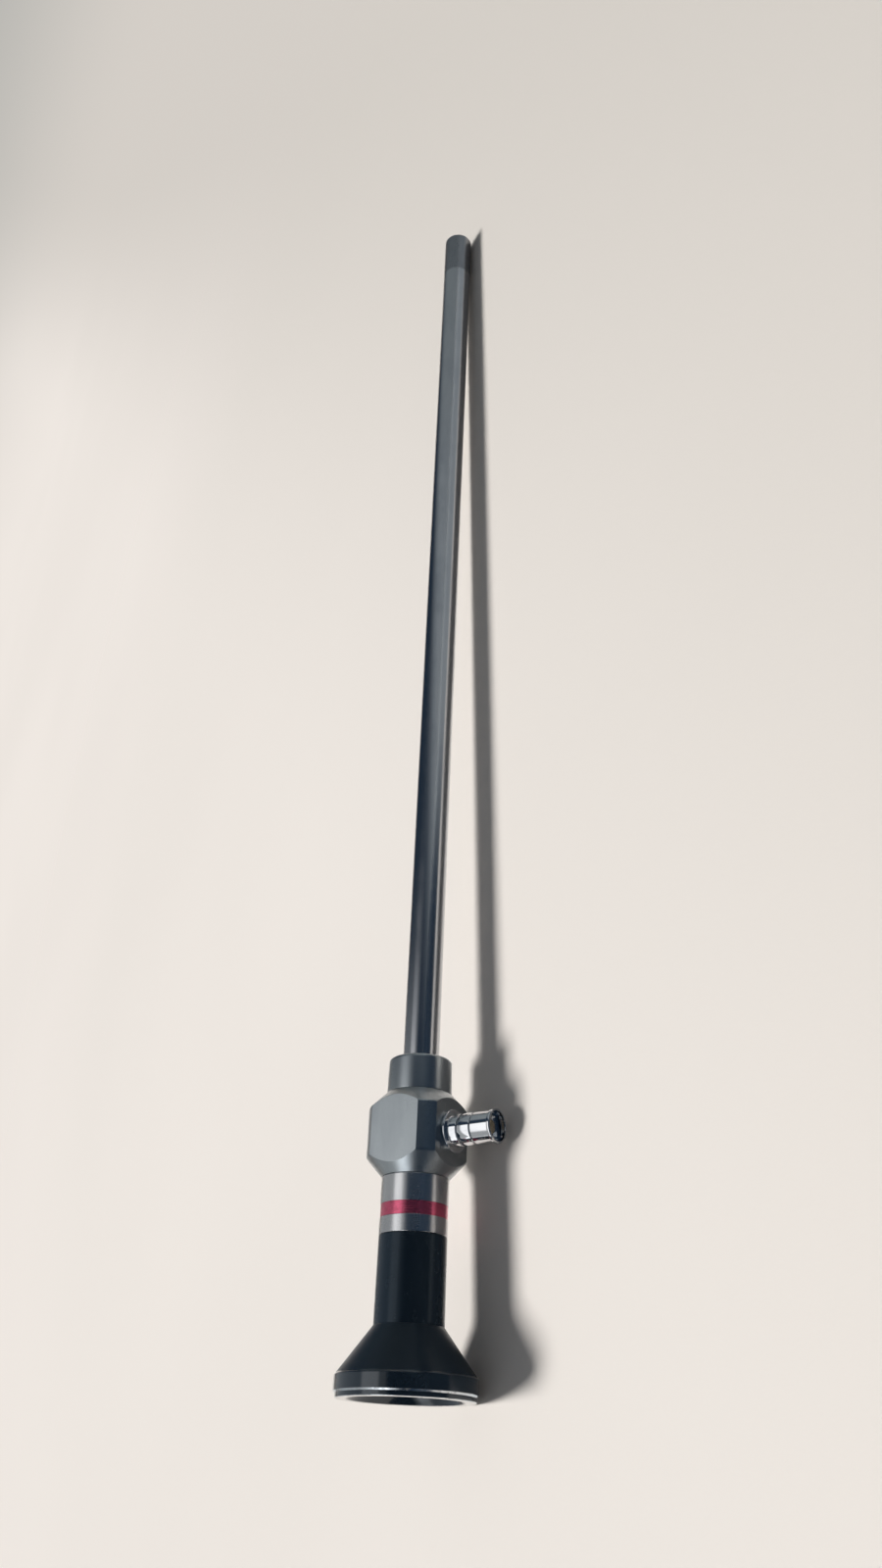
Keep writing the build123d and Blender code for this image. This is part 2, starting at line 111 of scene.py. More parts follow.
@dataclass(frozen=True)
class Lie:
    """How the instrument lies: on its rim, its tip and the lip of its light post.

    Args:
        rear_centre: Centre of the eyecup's rear face, in millimetres.
        dip: How far the shaft points down, in degrees.
        droop: How far the light post points down, in degrees.
        post_station: Station of the light post.
    """

    rear_centre: Colour = (-3.156821, -207.932227, 18.461919)
    dip: float = 1.85435
    droop: float = 28.90855
    post_station: float = 65.75

    @property
    def forward(self) -> Vector:
        """Direction of the optical axis, towards the tip."""
        return Vector((0, cos(radians(self.dip)), -sin(radians(self.dip))))

    @property
    def upward(self) -> Vector:
        """Upward direction square to the optical axis."""
        return Vector((0, sin(radians(self.dip)), cos(radians(self.dip))))

    def around(self, angle: float) -> Vector:
        """Direction square to the optical axis, at an angle in degrees above the right side."""
        return Vector((1, 0, 0)) * cos(radians(angle)) + self.upward * sin(radians(angle))

    @property
    def outward(self) -> Vector:
        """Direction of the light post."""
        return self.around(-self.droop)

    def point(self, station: float, height: float = 0.0, angle: float = 0.0) -> Vector:
        """Point at a station, and at a height in a direction round the axis, in metres."""
        centre = Vector(self.rear_centre) + self.forward * station
        return (centre + self.around(angle) * height) * MM

    @property
    def optical(self) -> Axes:
        """Turning axis of the whole instrument, with the post's direction as its radius."""
        return Axes(self.point(0), self.forward, self.outward)

    @property
    def post(self) -> Axes:
        """Turning axis of the light post."""
        return Axes(self.point(self.post_station), self.outward, self.forward)


# Shader maths


class Signal:
    """One output of a node. Python operators on it add Math nodes."""

    def __init__(self, book: "NodeBook", socket: bpy.types.NodeSocket) -> None:
        """Keep the socket and the book that adds nodes after it."""
        self.book = book
        self.socket = socket

    def _math(self, operation: str, first: Any, second: Any = 0.0) -> "Signal":
        """Math node on two values or signals."""
        settings = {"operation": operation}
        return self.book.add("ShaderNodeMath", settings, {0: first, 1: second})

    def __add__(self, other: Any) -> "Signal":
        """Sum."""
        return self._math("ADD", self, other)

    def __radd__(self, other: Any) -> "Signal":
        """Sum with a number first."""
        return self._math("ADD", other, self)

    def __sub__(self, other: Any) -> "Signal":
        """Difference."""
        return self._math("SUBTRACT", self, other)

    def __rsub__(self, other: Any) -> "Signal":
        """Difference from a number."""
        return self._math("SUBTRACT", other, self)

    def __mul__(self, other: Any) -> "Signal":
        """Product."""
        return self._math("MULTIPLY", self, other)

    def __rmul__(self, other: Any) -> "Signal":
        """Product with a number first."""
        return self._math("MULTIPLY", other, self)

    def __pow__(self, other: Any) -> "Signal":
        """Power."""
        return self._math("POWER", self, other)

    def __rpow__(self, other: Any) -> "Signal":
        """Power of a number."""
        return self._math("POWER", other, self)

    def angle(self, other: "Signal") -> "Signal":
        """Angle in degrees whose sine and cosine go with the two signals."""
        return self._math("ARCTAN2", self, other) * degrees(1)

    def rise(self, low: float, high: float) -> "Signal":
        """Smooth step from 0 at low to 1 at high; low may be the larger one."""
        settings = {"interpolation_type": "SMOOTHSTEP"}
        return self.book.add("ShaderNodeMapRange", settings, {0: self, 1: low, 2: high})

    def between(self, low: float, high: float, edge: float) -> "Signal":
        """1 between two values, falling smoothly to 0 over an edge outside them."""
        return self.rise(low - edge, low) * self.rise(high + edge, high)


class NodeBook:
    """Adds nodes to one node tree."""

    def __init__(self, tree: bpy.types.NodeTree) -> None:
        """Empty the tree and keep it."""
        self.tree = tree
        tree.nodes.clear()

    def add(
        self,
        kind: str,
        settings: dict[str, Any] | None = None,
        inputs: dict[Any, Any] | None = None,
        output: Any = 0,
    ) -> Signal:
        """Add one node.

        Args:
            kind: The node's type.
            settings: Its own settings, set before its sockets.
            inputs: Values, colours or signals by socket name or number.
            output: Name or number of the output to return.

        Returns:
            The output as a signal, or the first one.
        """
        node = self.tree.nodes.new(kind)
        for name, value in (settings or {}).items():
            setattr(node, name, value)
        for key, value in (inputs or {}).items():
            socket = node.inputs[key]
            if isinstance(value, Signal):
                self.tree.links.new(value.socket, socket)
            elif isinstance(value, tuple) and socket.type == "RGBA":
                socket.default_value = (*value[:3], 1.0)
            else:
                socket.default_value = value
        return Signal(self, node.outputs[output]) if len(node.outputs) else Signal(self, None)

    def blend(self, share: Any, first: Any, second: Any) -> Signal:
        """Mix two colours or colour signals by a share."""
        settings = {"data_type": "RGBA", "clamp_factor": True}
        return self.add("ShaderNodeMix", settings, {0: share, 6: first, 7: second}, 2)

    def along(self, vector: Signal, direction: Iterable[float]) -> Signal:
        """Length of a vector along a fixed direction."""
        settings = {"operation": "DOT_PRODUCT"}
        return self.add("ShaderNodeVectorMath", settings, {0: vector, 1: tuple(direction)}, "Value")

    def stretch(self, vector: Signal, across: float, along: float) -> Signal:
        """Scale lathe coordinates across and along the axis."""
        settings = {"operation": "MULTIPLY"}
        return self.add("ShaderNodeVectorMath", settings, {0: vector, 1: (across, across, along)})

    def noise(
        self, vector: Signal, scale: float, detail: float = 3.0, rough: float = 0.5
    ) -> Signal:
        """Soft noise between 0 and 1, at a scale, with its detail and its roughness."""
        inputs = {"Vector": vector, "Scale": scale, "Detail": detail, "Roughness": rough}
        return self.add("ShaderNodeTexNoise", None, inputs)


# Finishes


@dataclass(frozen=True)
class Finish:
    """Common part of every finish: a principled surface in lathe coordinates.

    Args:
        name: Name of the material.
        colour: Base colour.
        roughness: Middle roughness.
    """

    name: str
    colour: Colour
    roughness: float

    def make(self, axes: Axes) -> bpy.types.Material:
        """Make the material for pieces on a turning axis.

        Args:
            axes: The axis that its marks run round or along.

        Returns:
            The finished material.
        """
        material = bpy.data.materials.new(self.name)
        material.use_nodes = True
        book = NodeBook(material.node_tree)
        point = self._lathe_point(book, axes)
        surface = book.add("ShaderNodeBsdfPrincipled", None, self.surface(book, point))
        book.add("ShaderNodeOutputMaterial", None, {"Surface": surface})
        return material

    def _lathe_point(self, book: NodeBook, axes: Axes) -> Signal:
        """Object coordinates turned so that z runs along the axis, in millimetres."""
        place = book.add("ShaderNodeTexCoord", None, None, "Object")
        turn = axes.turn.transposed()
        inputs = {
            "Vector": place,
            "Location": -(turn @ axes.start) / MM,
            "Rotation": turn.to_euler("XYZ"),
            "Scale": (1 / MM,) * 3,
        }
        return book.add("ShaderNodeMapping", {"vector_type": "POINT"}, inputs)

    def surface(self, book: NodeBook, point: Signal) -> dict[str, Any]:
        """Sockets of the surface; each kind of finish has its own."""
        raise NotImplementedError

    @staticmethod
    def bump(book: NodeBook, height: Signal, depth: float) -> Signal:
        """Normal from a height signal, with its depth in millimetres."""
        inputs = {"Strength": 1.0, "Distance": depth * MM, "Height": height}
        return book.add("ShaderNodeBump", None, inputs)


@dataclass(frozen=True)
class Metal(Finish):
    """Bare or plated metal with tool marks, smudges and hairline scratches.

    Args:
        grain: Direction of the tool marks.
        depth: Depth of the marks, in millimetres.
        spread: How much the smudges change the roughness.
        tint: Colour of the slightly stained places.
        smudge_size: Share of the pattern's scale across and along, for the smudges.
        line_size: The same for the hairline scratches.
        speckle_size: The same for the small stains, in both directions.
    """

    grain: Grain = Grain.TURNED
    depth: float = 0.0006
    spread: float = 0.05
    tint: Colour = (0.30, 0.32, 0.36)
    smudge_size: tuple[float, float] = (0.16, 0.05)
    line_size: tuple[float, float] = (2.6, 0.05)
    speckle_size: tuple[float, float] = (1.6, 1.6)

    def surface(self, book: NodeBook, point: Signal) -> dict[str, Any]:
        """Metal sockets: stains in the colour, marks in the roughness and the bump."""
        marks = book.noise(book.stretch(point, *self.grain.value), 1.0, 4.0, 0.6)
        smudges = book.noise(book.stretch(point, *self.smudge_size), 1.0, 4.0, 0.65)
        smudges = smudges.rise(0.38, 0.72)
        lines = book.noise(book.stretch(point, *self.line_size), 1.0, 2.0, 0.4)
        scratches = lines.rise(0.68, 0.75)
        speckle = book.noise(book.stretch(point, *self.speckle_size), 1.0, 2.0).rise(0.66, 0.80)
        stain = smudges * 0.30 + speckle * 0.16 + scratches * 0.20
        rough = self.roughness + self.spread * (smudges + (marks - 0.5) * 1.4 + scratches * 0.8)
        return {
            "Base Color": book.blend(stain, self.colour, self.tint),
            "Metallic": 1.0,
            "Roughness": rough,
            "Normal": self.bump(book, marks + scratches * 0.5, self.depth),
        }


@dataclass(frozen=True)
class ShaftSteel(Metal):
    """Drawn and polished shaft tube, duller and darker in a zone behind its tip.

    Args:
        zone_start: Station where the darker zone starts.
        zone_edge: Half the length over which it fades in.
        zone_tint: Colour of the zone.
    """

    zone_start: float = 398.0
    zone_edge: float = 0.6
    zone_tint: Colour = (0.20, 0.21, 0.23)

    def surface(self, book: NodeBook, point: Signal) -> dict[str, Any]:
        """Metal sockets with the tip zone blended in."""
        sockets = super().surface(book, point)
        station = book.along(point, (0, 0, 1))
        zone = station.rise(self.zone_start - self.zone_edge, self.zone_start + self.zone_edge)
        sockets["Base Color"] = book.blend(zone * 0.7, sockets["Base Color"], self.zone_tint)
        sockets["Roughness"] = sockets["Roughness"] + zone * 0.10
        return sockets


@dataclass(frozen=True)
class BlackSkin(Finish):
    """Black anodised or moulded surface under a thin clear skin.

    Args:
        coat: Strength of the clear skin.
        grey: Colour of the dusty or worn places.
        gloss_from: Station range that is glossier than the rest, as on a rim.
        gloss_to: End of that range.
        gloss: Roughness in that range.
        worn: Edges rubbed bright, each as the first and last station and the radius outside it.
        worn_edge: Length over which the bare metal fades in.
        bare: Colour of the bare metal there.
    """

    coat: float = 0.3
    grey: Colour = (0.020, 0.030, 0.041)
    gloss_from: float = 0.0
    gloss_to: float = 0.0
    gloss: float = 0.12
    worn: tuple[tuple[float, float, float], ...] = ()
    worn_edge: float = 0.04
    bare: Colour = (0.62, 0.65, 0.68)

    def surface(self, book: NodeBook, point: Signal) -> dict[str, Any]:
        """Black sockets: faint turning rings, dust, and a glossier band if there is one."""
        rings = book.noise(book.stretch(point, 0.05, 5.0), 1.0, 3.0, 0.6)
        dust = book.noise(book.stretch(point, 0.9, 0.9), 1.0, 5.0, 0.7).rise(0.56, 0.86)
        rubs = book.noise(book.stretch(point, 0.22, 0.12), 1.0, 3.0, 0.6).rise(0.42, 0.74)
        rough = self.roughness + rubs * 0.08 + (rings - 0.5) * 0.06
        coat: Any = self.coat
        if self.gloss_to > self.gloss_from:
            station = book.along(point, (0, 0, 1))
            band = station.between(self.gloss_from, self.gloss_to, 0.25)
            rough = rough + band * (self.gloss - self.roughness)
            coat = self.coat + band * (1.0 - self.coat)
        colour = book.blend(dust * 0.5 + rubs * 0.2, self.colour, self.grey)
        sockets = {
            "Base Color": colour,
            "Roughness": rough,
            "Coat Weight": coat,
            "Coat Roughness": 0.08,
            "Specular IOR Level": 0.22,
            "Specular Tint": (0.72, 0.88, 1.0, 1.0),
            "Normal": self.bump(book, rings + dust * 0.3, 0.0012),
        }
        if self.worn:
            bright = self._worn_edges(book, point)
            sockets["Base Color"] = book.blend(bright, colour, self.bare)
            sockets["Metallic"] = bright
        return sockets

    def _worn_edges(self, book: NodeBook, point: Signal) -> Signal:
        """Share of bare metal, patchy along each worn edge.

        Args:
            book: Node book of the material.
            point: Lathe coordinates.

        Returns:
            The share, from 0 to 1.
        """
        units = ((1, 0, 0), (0, 1, 0), (0, 0, 1))
        across, side, station = (book.along(point, unit) for unit in units)
        radius = (across * across + side * side) ** 0.5
        patches = book.noise(point, 0.5, 4.0, 0.65).rise(0.30, 0.55)
        bright: Any = 0.0
        for start, end, inner in self.worn:
            ring = station.between(start, end, self.worn_edge)
            bright = ring * radius.rise(inner - self.worn_edge, inner) + bright
        return bright * (0.45 + patches * 0.55)


@dataclass(frozen=True)
class Enamel(Finish):
    """Coloured ring: enamel laid in a groove, with fine rings and darker rubbed places."""

    def surface(self, book: NodeBook, point: Signal) -> dict[str, Any]:
        """Enamel sockets."""
        rings = book.noise(book.stretch(point, 0.1, 6.0), 1.0, 3.0)
        mottle = book.noise(book.stretch(point, 0.7, 0.7), 1.0, 4.0, 0.6)
        dark = tuple(0.45 * part for part in self.colour)
        return {
            "Base Color": book.blend(mottle.rise(0.45, 0.8) * 0.6, self.colour, dark),
            "Roughness": self.roughness + (rings - 0.5) * 0.1,
            "Metallic": 0.85,
            "Coat Weight": 0.2 + mottle * 0.2,
            "Coat Roughness": 0.1,
            "Normal": self.bump(book, rings, 0.0008),
        }


@dataclass(frozen=True)
class Matt(Finish):
    """Dull inner surface, such as blackened brass or rubber, with a fine tooth.

    Args:
        pale: Colour of the paler grains.
        metallic: 1 for metal, 0 for rubber.
    """

    pale: Colour = (0.06, 0.06, 0.065)
    metallic: float = 0.0

    def surface(self, book: NodeBook, point: Signal) -> dict[str, Any]:
        """Matt sockets."""
        tooth = book.noise(book.stretch(point, 3.0, 3.0), 1.0, 4.0, 0.65)
        return {
            "Base Color": book.blend(tooth.rise(0.5, 0.85), self.colour, self.pale),
            "Roughness": self.roughness + (tooth - 0.5) * 0.2,
            "Metallic": self.metallic,
            "Normal": self.bump(book, tooth, 0.004),
        }


@dataclass(frozen=True)
class Glass(Finish):
    """Coated optical glass with a trace of cleaning smears."""

    def surface(self, book: NodeBook, point: Signal) -> dict[str, Any]:
        """Glass sockets."""
        smears = book.noise(book.stretch(point, 0.35, 0.35), 1.0, 4.0, 0.6).rise(0.5, 0.8)
        tinted = tuple(0.92 * part for part in self.colour)
        return {
            "Base Color": book.blend(smears, self.colour, tinted),
            "Roughness": self.roughness + smears * 0.05,
            "IOR": 1.52,
            "Transmission Weight": 1.0,
            "Coat Weight": 0.4 + smears * 0.2,
            "Coat Tint": (0.75, 0.85, 1.0, 1.0),
        }


@dataclass(frozen=True)
class FibreEnds(Finish):
    """Packed glass fibres: each end a small pale dot between darker glue."""

    glue: Colour = (0.05, 0.035, 0.02)

    def surface(self, book: NodeBook, point: Signal) -> dict[str, Any]:
        """Fibre sockets."""
        inputs = {"Vector": point, "Scale": 9.0, "Randomness": 0.55}
        gap = book.add("ShaderNodeTexVoronoi", {"feature": "DISTANCE_TO_EDGE"}, inputs)
        end = gap.rise(0.04, 0.22)
        return {
            "Base Color": book.blend(end, self.glue, self.colour),
            "Roughness": self.roughness + (1 - end) * 0.3,
            "Coat Weight": end * 0.6,
            "Normal": self.bump(book, end, 0.004),
        }


SHAFT_STEEL = ShaftSteel(
    "shaft_steel", (0.50, 0.51, 0.53), 0.17, grain=Grain.DRAWN, depth=0.0005, spread=0.05
)
NECK_STEEL = Metal("neck_steel", (0.62, 0.62, 0.63), 0.24, grain=Grain.TURNED, depth=0.0008)
BODY_STEEL = Metal(
    "body_steel", (0.44, 0.475, 0.495), 0.28, grain=Grain.BLASTED, depth=0.0016, spread=0.05
)
POST_CHROME = Metal(
    "post_chrome", (0.72, 0.73, 0.75), 0.08, grain=Grain.TURNED, depth=0.0004, spread=0.03
)
EYECUP_BLACK = BlackSkin(
    "eyecup_black",
    (0.0095, 0.0175, 0.028),
    0.34,
    coat=0.08,
    gloss_from=0.0,
    gloss_to=5.7,
    gloss=0.16,
    worn=((-0.1, 0.16, 17.62), (1.24, 1.68, 17.6)),
)
TUBE_BLACK = BlackSkin("tube_black", (0.0095, 0.0175, 0.028), 0.24, coat=0.08)
RING_RED = Enamel("ring_red", (0.66, 0.11, 0.20), 0.26)
INNER_BRASS = Matt("inner_brass", (0.020, 0.019, 0.018), 0.55, metallic=1.0)
INNER_ALLOY = Matt("inner_alloy", (0.018, 0.018, 0.019), 0.5, metallic=1.0)
SEAL_BLACK = Matt("seal_black", (0.015, 0.015, 0.016), 0.7)
LENS_GLASS = Glass("lens_glass", (0.96, 0.98, 1.0), 0.02)
FIBRE_PALE = FibreEnds("fibre_pale", (0.30, 0.26, 0.19), 0.25)

SLOT_FINISH = {
    Slot.POLISHED_STEEL: NECK_STEEL,
    Slot.BLASTED_STEEL: BODY_STEEL,
    Slot.CHROMED_POST: POST_CHROME,
    Slot.BLACK_GLOSS: EYECUP_BLACK,
    Slot.BLACK_TUBE: TUBE_BLACK,
    Slot.RED_RING: RING_RED,
    Slot.BLACK_BRASS: INNER_BRASS,
    Slot.BLACK_ALLOY: INNER_ALLOY,
    Slot.OPTICAL_GLASS: LENS_GLASS,
    Slot.FIBRE_GLASS: FIBRE_PALE,
    Slot.SEAL_RUBBER: SEAL_BLACK,
}


class PaintShop:
    """Makes each finish once for each turning axis, and hands it out."""

    def __init__(self) -> None:
        """Start with no materials made."""
        self._made: dict[tuple[str, tuple[float, ...]], bpy.types.Material] = {}

    def coat(self, target: bpy.types.Object, finish: Finish, axes: Axes) -> None:
        """Give an object one finish.

        Args:
            target: The object to dress.
            finish: Its finish.
            axes: The axis that the finish follows.
        """
        key = (finish.name, tuple(axes.along))
        if key not in self._made:
            self._made[key] = finish.make(axes)
        if target.data.materials:
            for number in range(len(target.data.materials)):
                target.data.materials[number] = self._made[key]
        else:
            target.data.materials.append(self._made[key])


# Turning


@dataclass(frozen=True)
class Corner:
    """Corner of a turned outline.

    Args:
        radius: Distance from the axis.
        along: Distance along the axis.
        ease: Length cut from both sides of the corner by its rounding.
        facets: Number of faces across the rounding.
    """

    radius: float
    along: float
    ease: float = 0.0
    facets: int = 3


@dataclass(frozen=True)
class Lathe:
    """Turns outlines into closed smooth pieces.

    Args:
        steps: Faces round a full turn.
        join: Distance below which points are one.
        sharp: Angle in degrees over which an edge stays crisp.
    """

    steps: int = 192
    join: float = 1e-4
    sharp: float = 38.0

    def turned(self, corners: Sequence[Corner]) -> bmesh.types.BMesh:
        """Spin an outline in the x-z plane round the z axis.

        Args:
            corners: Corners of the outline; it is closed unless it starts and ends on the axis.

        Returns:
            The turned mesh in lathe millimetres.
        """
        mesh = bmesh.new()
        points = [mesh.verts.new((corner.radius, 0, corner.along)) for corner in corners]
        pairs = list(zip(points, points[1:]))
        if corners[0].radius > 0:
            pairs.append((points[-1], points[0]))
        for pair in pairs:
            mesh.edges.new(pair)
        for point, corner in zip(points, corners):
            if corner.ease:
                self._round(mesh, point, corner)
        bmesh.ops.spin(
            mesh,
            geom=mesh.verts[:] + mesh.edges[:],
            cent=(0, 0, 0),
            axis=(0, 0, 1),
            angle=2 * pi,
            steps=self.steps,
            use_merge=True,
        )
        self._clean(mesh)
        return mesh

    @staticmethod
    def _round(mesh: bmesh.types.BMesh, point: bmesh.types.BMVert, corner: Corner) -> None:
        """Round one corner of an outline before it is spun."""
        bmesh.ops.bevel(
            mesh,
            geom=[point],
            offset=corner.ease,
            offset_type="OFFSET",
            segments=corner.facets,
            profile=0.5,
            affect="VERTICES",
            material=-1,
        )

    def _clean(self, mesh: bmesh.types.BMesh) -> None:
        """Close the seam and the poles, and turn every face outwards."""
        bmesh.ops.remove_doubles(mesh, verts=mesh.verts[:], dist=self.join)
        bmesh.ops.dissolve_degenerate(mesh, edges=mesh.edges[:], dist=self.join)
        bmesh.ops.recalc_face_normals(mesh, faces=mesh.faces[:])

    def place(self, mesh: bmesh.types.BMesh, name: str, axes: Axes) -> bpy.types.Object:
        """Move a mesh to its turning axis and make it an object.

        Args:
            mesh: Mesh in lathe millimetres; it is freed.
            name: Name of the new object.
            axes: Its turning axis.

        Returns:
            The object, at the origin, with its place in its mesh.
        """
        bmesh.ops.transform(mesh, matrix=axes.placing, verts=mesh.verts[:])
        bmesh.ops.recalc_face_normals(mesh, faces=mesh.faces[:])
        data = bpy.data.meshes.new(name)
        mesh.to_mesh(data)
        mesh.free()
        piece = bpy.data.objects.new(name, data)
        bpy.context.scene.collection.objects.link(piece)
        return piece

    def shade(self, piece: bpy.types.Object) -> None:
        """Smooth shading with crisp corners, weighted so that flat faces look flat."""
        mesh = bmesh.new()
        mesh.from_mesh(piece.data)
        for face in mesh.faces:
            face.smooth = True
        for edge in mesh.edges:
            edge.smooth = edge.calc_face_angle(0.0) < radians(self.sharp)
        mesh.to_mesh(piece.data)
        mesh.free()
        even = piece.modifiers.new("even_normals", "WEIGHTED_NORMAL")
        even.keep_sharp = True
        even.weight = 90

    def piece(self, name: str, corners: Sequence[Corner], axes: Axes) -> bpy.types.Object:
        """Turn, place and shade a plain turned piece."""
        made = self.place(self.turned(corners), name, axes)
        self.shade(made)
        return made


def sleeve(bore: float, radius: float, start: float, end: float, ease: float) -> list[Corner]:
    """Outline of a sleeve with eased outer edges.

    Args:
        bore: Radius of the hole.
        radius: Outer radius.
        start: Distance where it starts.
        end: Distance where it ends.
        ease: Easing of the two outer edges.

    Returns:
        The four corners.
    """
    return [
        Corner(bore, start),
        Corner(radius, start, ease),
        Corner(radius, end, ease),
        Corner(bore, end),
    ]


def disc(radius: float, start: float, end: float, ease: float) -> list[Corner]:
    """Outline of a solid disc with eased edges.

    Args:
        radius: Its radius.
        start: Distance of its first face.
        end: Distance of its second face.
        ease: Easing of both edges.

    Returns:
        The four corners, from axis to axis.
    """
    return [
        Corner(0, start),
        Corner(radius, start, ease),
        Corner(radius, end, ease),
        Corner(0, end),
    ]


@dataclass
class SubAssembly:
    """Common part of the sub-assemblies: their place, lathe and paint shop.

    Args:
        lie: How the instrument lies.
        paint: The paint shop.
        lathe: The lathe that makes the pieces.
    """

    lie: Lie
    paint: PaintShop
    lathe: Lathe = field(default_factory=Lathe)

    def register(
        self,
        piece: bpy.types.Object,
        slot: Slot,
        node: str,
        axes: Axes,
        finish: Finish | None = None,
    ) -> None:
        """Dress a piece, attach it to the body and hide the CAD node that it stands for.

        Args:
            piece: The finished piece.
            slot: Its material slot in the record.
            node: CAD node that it stands for.
            axes: The axis that its finish follows.
            finish: Its finish, or None for the slot's own.
        """
        self.paint.coat(piece, finish or SLOT_FINISH[slot], axes)
        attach(piece, BODY)
        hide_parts(node)
        log.info("%s: %d faces, stands for %s", piece.name, len(piece.data.polygons), node)

    def make(
        self,
        name: str,
        node: str,
        slot: Slot,
        corners: Sequence[Corner],
        finish: Finish | None = None,
    ) -> None:
        """Turn and register a plain piece round the optical axis.

        Args:
            name: Name of the new object.
            node: CAD node that it stands for.
            slot: Its material slot in the record.
            corners: Its outline.
            finish: Its finish, or None for the slot's own.
        """
        axes = self.lie.optical
        self.register(self.lathe.piece(name, corners, axes), slot, node, axes, finish)


# Sub-assemblies


@dataclass
class Shaft(SubAssembly):
    """Long steel tube with its window, in front of the collar."""

    radius: float = 5.0
    seat_radius: float = 4.8
    bore: float = 4.5
    seat_start: float = 73.0
    start: float = 86.5
    tip: float = 416.5
    tip_ease: float = 0.4
    window_radius: float = 3.1
    window_thickness: float = 1.2
    window_edge: float = 0.06

    def build(self) -> None:
        """Make the tube and the window at its tip."""
        corners = [
            Corner(self.bore, self.seat_start),
            Corner(self.seat_radius, self.seat_start),
            Corner(self.seat_radius, self.start),
            Corner(self.radius, self.start),
            Corner(self.radius, self.tip, self.tip_ease, 5),
            Corner(self.bore, self.tip, 0.04, 2),
        ]
        self.make("shaft_tube", "outer_tube", Slot.POLISHED_STEEL, corners, SHAFT_STEEL)
        window_start = self.tip - self.window_thickness
        corners = disc(self.window_radius, window_start, self.tip, self.window_edge)
        self.make("tip_window", "distal_window", Slot.OPTICAL_GLASS, corners)


